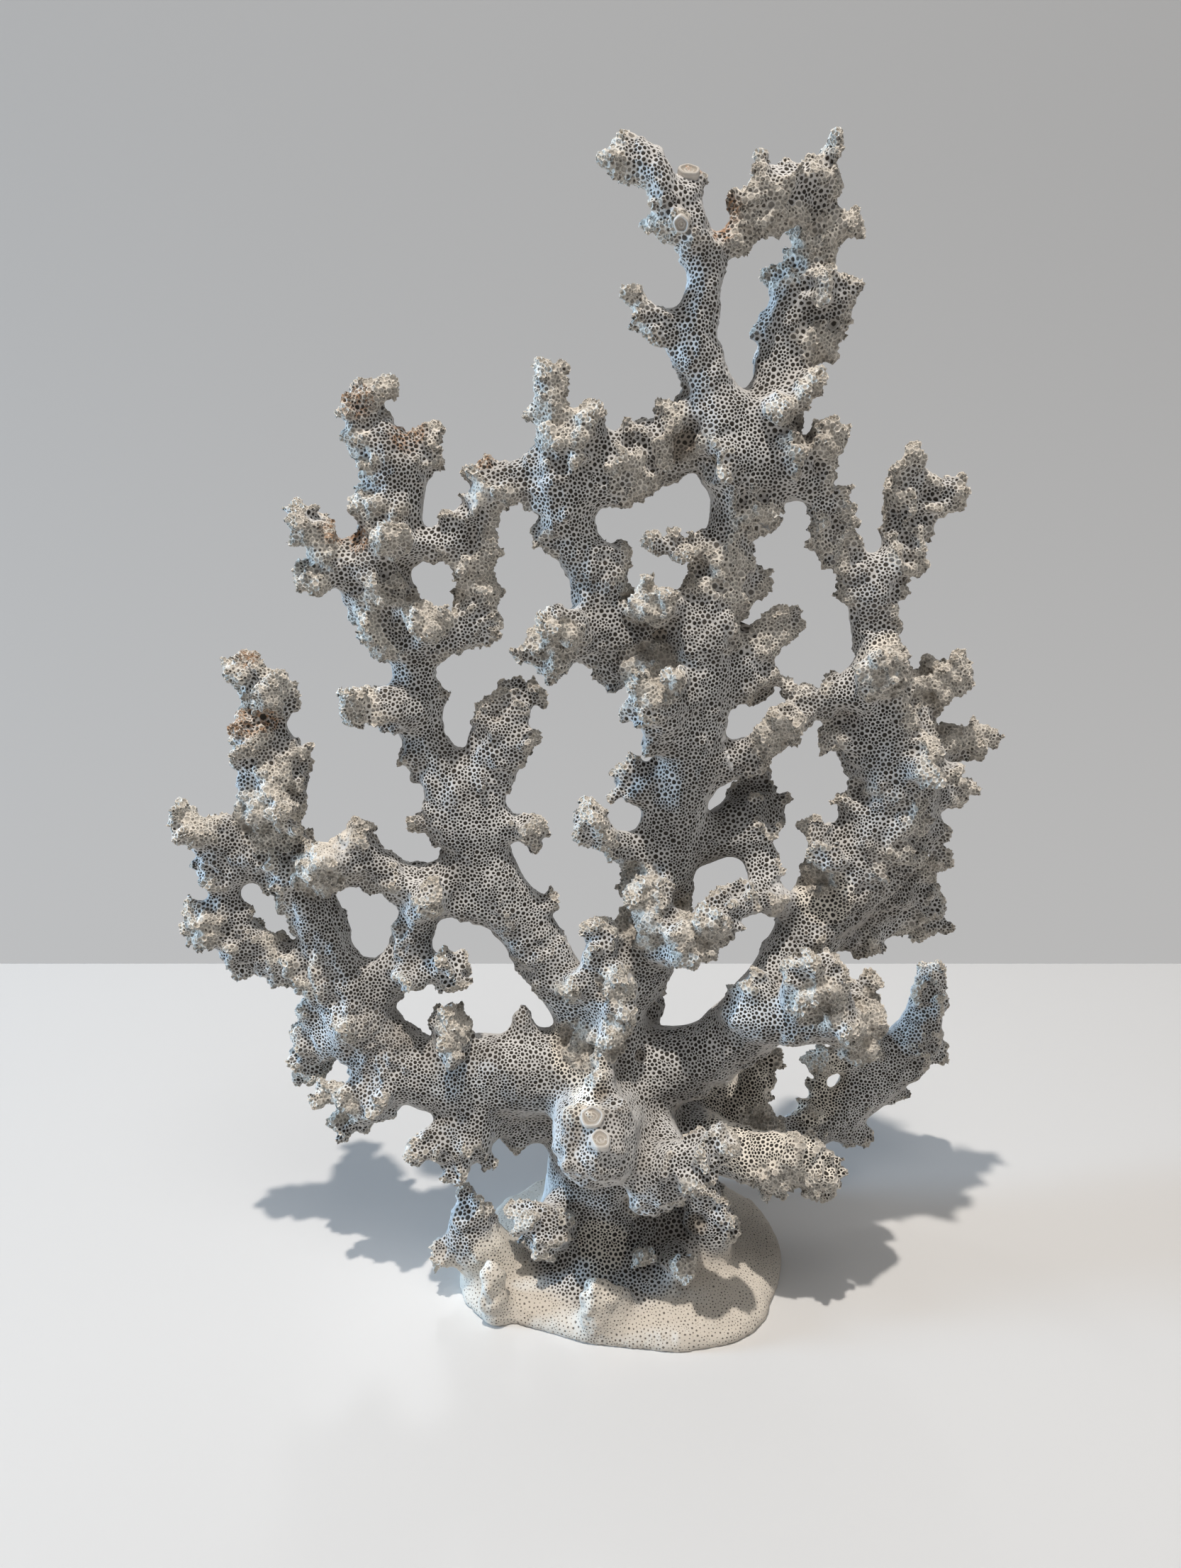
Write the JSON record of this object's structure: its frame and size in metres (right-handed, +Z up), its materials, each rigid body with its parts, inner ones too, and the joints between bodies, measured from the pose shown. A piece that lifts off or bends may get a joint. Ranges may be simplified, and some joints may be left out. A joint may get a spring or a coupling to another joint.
{
  "type": "branch coral skeleton",
  "caption": "Dry branching coral skeleton: an upright fan of fused, pitted limbs on a spread foot that is cut off flat.",
  "frame": {"origin": "middle of the foot's flat underside, on the surface it rests on", "axes": "+Z up along the fan, +X to the fan's right seen from the front, +Y to the back"},
  "size_m": [0.2733, 0.1067, 0.3582],
  "materials": {
    "coral": "dry, chalky and pitted"
  },
  "bodies": {
    "root": {"foot_and_trunk": "coral", "left_arm": "coral", "far_left_fan": "coral", "left_mid_stem": "coral", "upper_left_fan": "coral", "centre_stem": "coral", "centre_fan": "coral", "right_link": "coral", "centre_left_branch": "coral", "top_crown": "coral", "right_arm": "coral", "right_stem": "coral", "upper_right_fork": "coral", "back_branch": "coral"}
  },
  "joints": []
}
